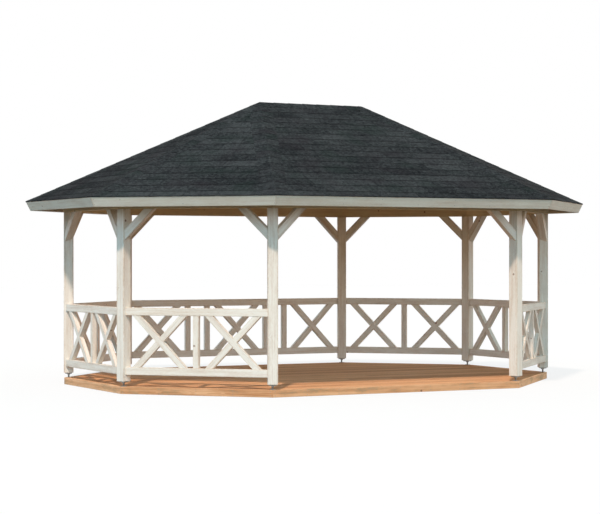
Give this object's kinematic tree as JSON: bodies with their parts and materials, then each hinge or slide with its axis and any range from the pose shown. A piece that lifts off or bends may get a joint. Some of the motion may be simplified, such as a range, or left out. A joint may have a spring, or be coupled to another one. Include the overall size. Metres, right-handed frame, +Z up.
{
  "type": "garden gazebo",
  "caption": "Stretched octagonal timber garden gazebo with lattice railings, knee braces, a deck and a hipped shingle roof; one long side is open.",
  "frame": {"origin": "on the ground under the middle of the deck", "axes": "+X along the ridge, towards the right end; +Y away from the open entrance side; +Z up"},
  "size_m": [6.7878, 5.3378, 3.4942],
  "materials": {
    "limewashed_timber": "planed softwood with a thin white wash, grain and knots showing",
    "bare_timber": "planed softwood, unpainted, brown",
    "deck_board_wood": "oiled boards, orange brown",
    "deck_rim_wood": "oiled board, light brown",
    "zinc_steel": "zinc plated, dulled",
    "bitumen_shingle": "bitumen shingles with dark grey mineral grit"
  },
  "bodies": {
    "root": {"deck_boards": "deck_board_wood", "deck_rim": "deck_rim_wood", "deck_joists": "bare_timber", "post_feet": "zinc_steel", "post_right_front": "limewashed_timber", "post_right_back": "limewashed_timber", "post_back_right": "limewashed_timber", "post_back_left": "limewashed_timber", "post_left_back": "limewashed_timber", "post_left_front": "limewashed_timber", "post_front_left": "limewashed_timber", "post_front_right": "limewashed_timber", "railing_right": "limewashed_timber", "railing_back_right": "limewashed_timber", "railing_back": "limewashed_timber", "railing_back_left": "limewashed_timber", "railing_left": "limewashed_timber", "railing_front_left": "limewashed_timber", "railing_front_right": "limewashed_timber", "knee_braces": "limewashed_timber", "beam_right": "bare_timber", "beam_back_right": "bare_timber", "beam_back": "bare_timber", "beam_back_left": "bare_timber", "beam_left": "bare_timber", "beam_front_left": "bare_timber", "beam_front": "bare_timber", "beam_front_right": "bare_timber", "hip_rafters_left": "bare_timber", "hip_rafters_right": "bare_timber", "ridge_hubs": "bare_timber", "ridge_beam": "bare_timber", "common_rafters": "bare_timber", "jack_rafters": "bare_timber", "roof_boards": "bare_timber", "fascia_boards": "limewashed_timber", "shingles_right": "bitumen_shingle", "shingles_back_right": "bitumen_shingle", "shingles_back": "bitumen_shingle", "shingles_back_left": "bitumen_shingle", "shingles_left": "bitumen_shingle", "shingles_front_left": "bitumen_shingle", "shingles_front": "bitumen_shingle", "shingles_front_right": "bitumen_shingle", "ridge_and_hip_caps": "bitumen_shingle"}
  },
  "joints": []
}
